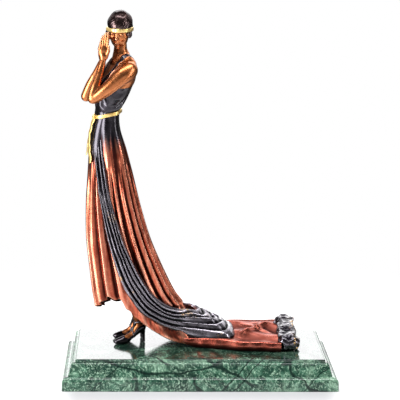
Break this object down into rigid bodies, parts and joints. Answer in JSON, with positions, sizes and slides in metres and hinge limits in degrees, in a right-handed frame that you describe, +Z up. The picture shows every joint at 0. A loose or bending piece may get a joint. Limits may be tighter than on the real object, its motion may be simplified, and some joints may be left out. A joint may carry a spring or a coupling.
{
  "type": "bronze female figure",
  "caption": "Standing bronze woman in a pleated evening dress with a long train, hands together beside her cheek, on a moulded green marble plinth.",
  "frame": {"origin": "centre of the plinth's underside", "axes": "+Z up, +X along the plinth's length towards the train's end, +Y from the viewer's side to the far side"},
  "size_m": [0.3, 0.15, 0.4043],
  "materials": {
    "marble_plinth": "polished",
    "bronze_figure": "satin"
  },
  "bodies": {
    "root": {"marble_plinth": "marble_plinth", "bronze_figure": "bronze_figure"}
  },
  "joints": []
}
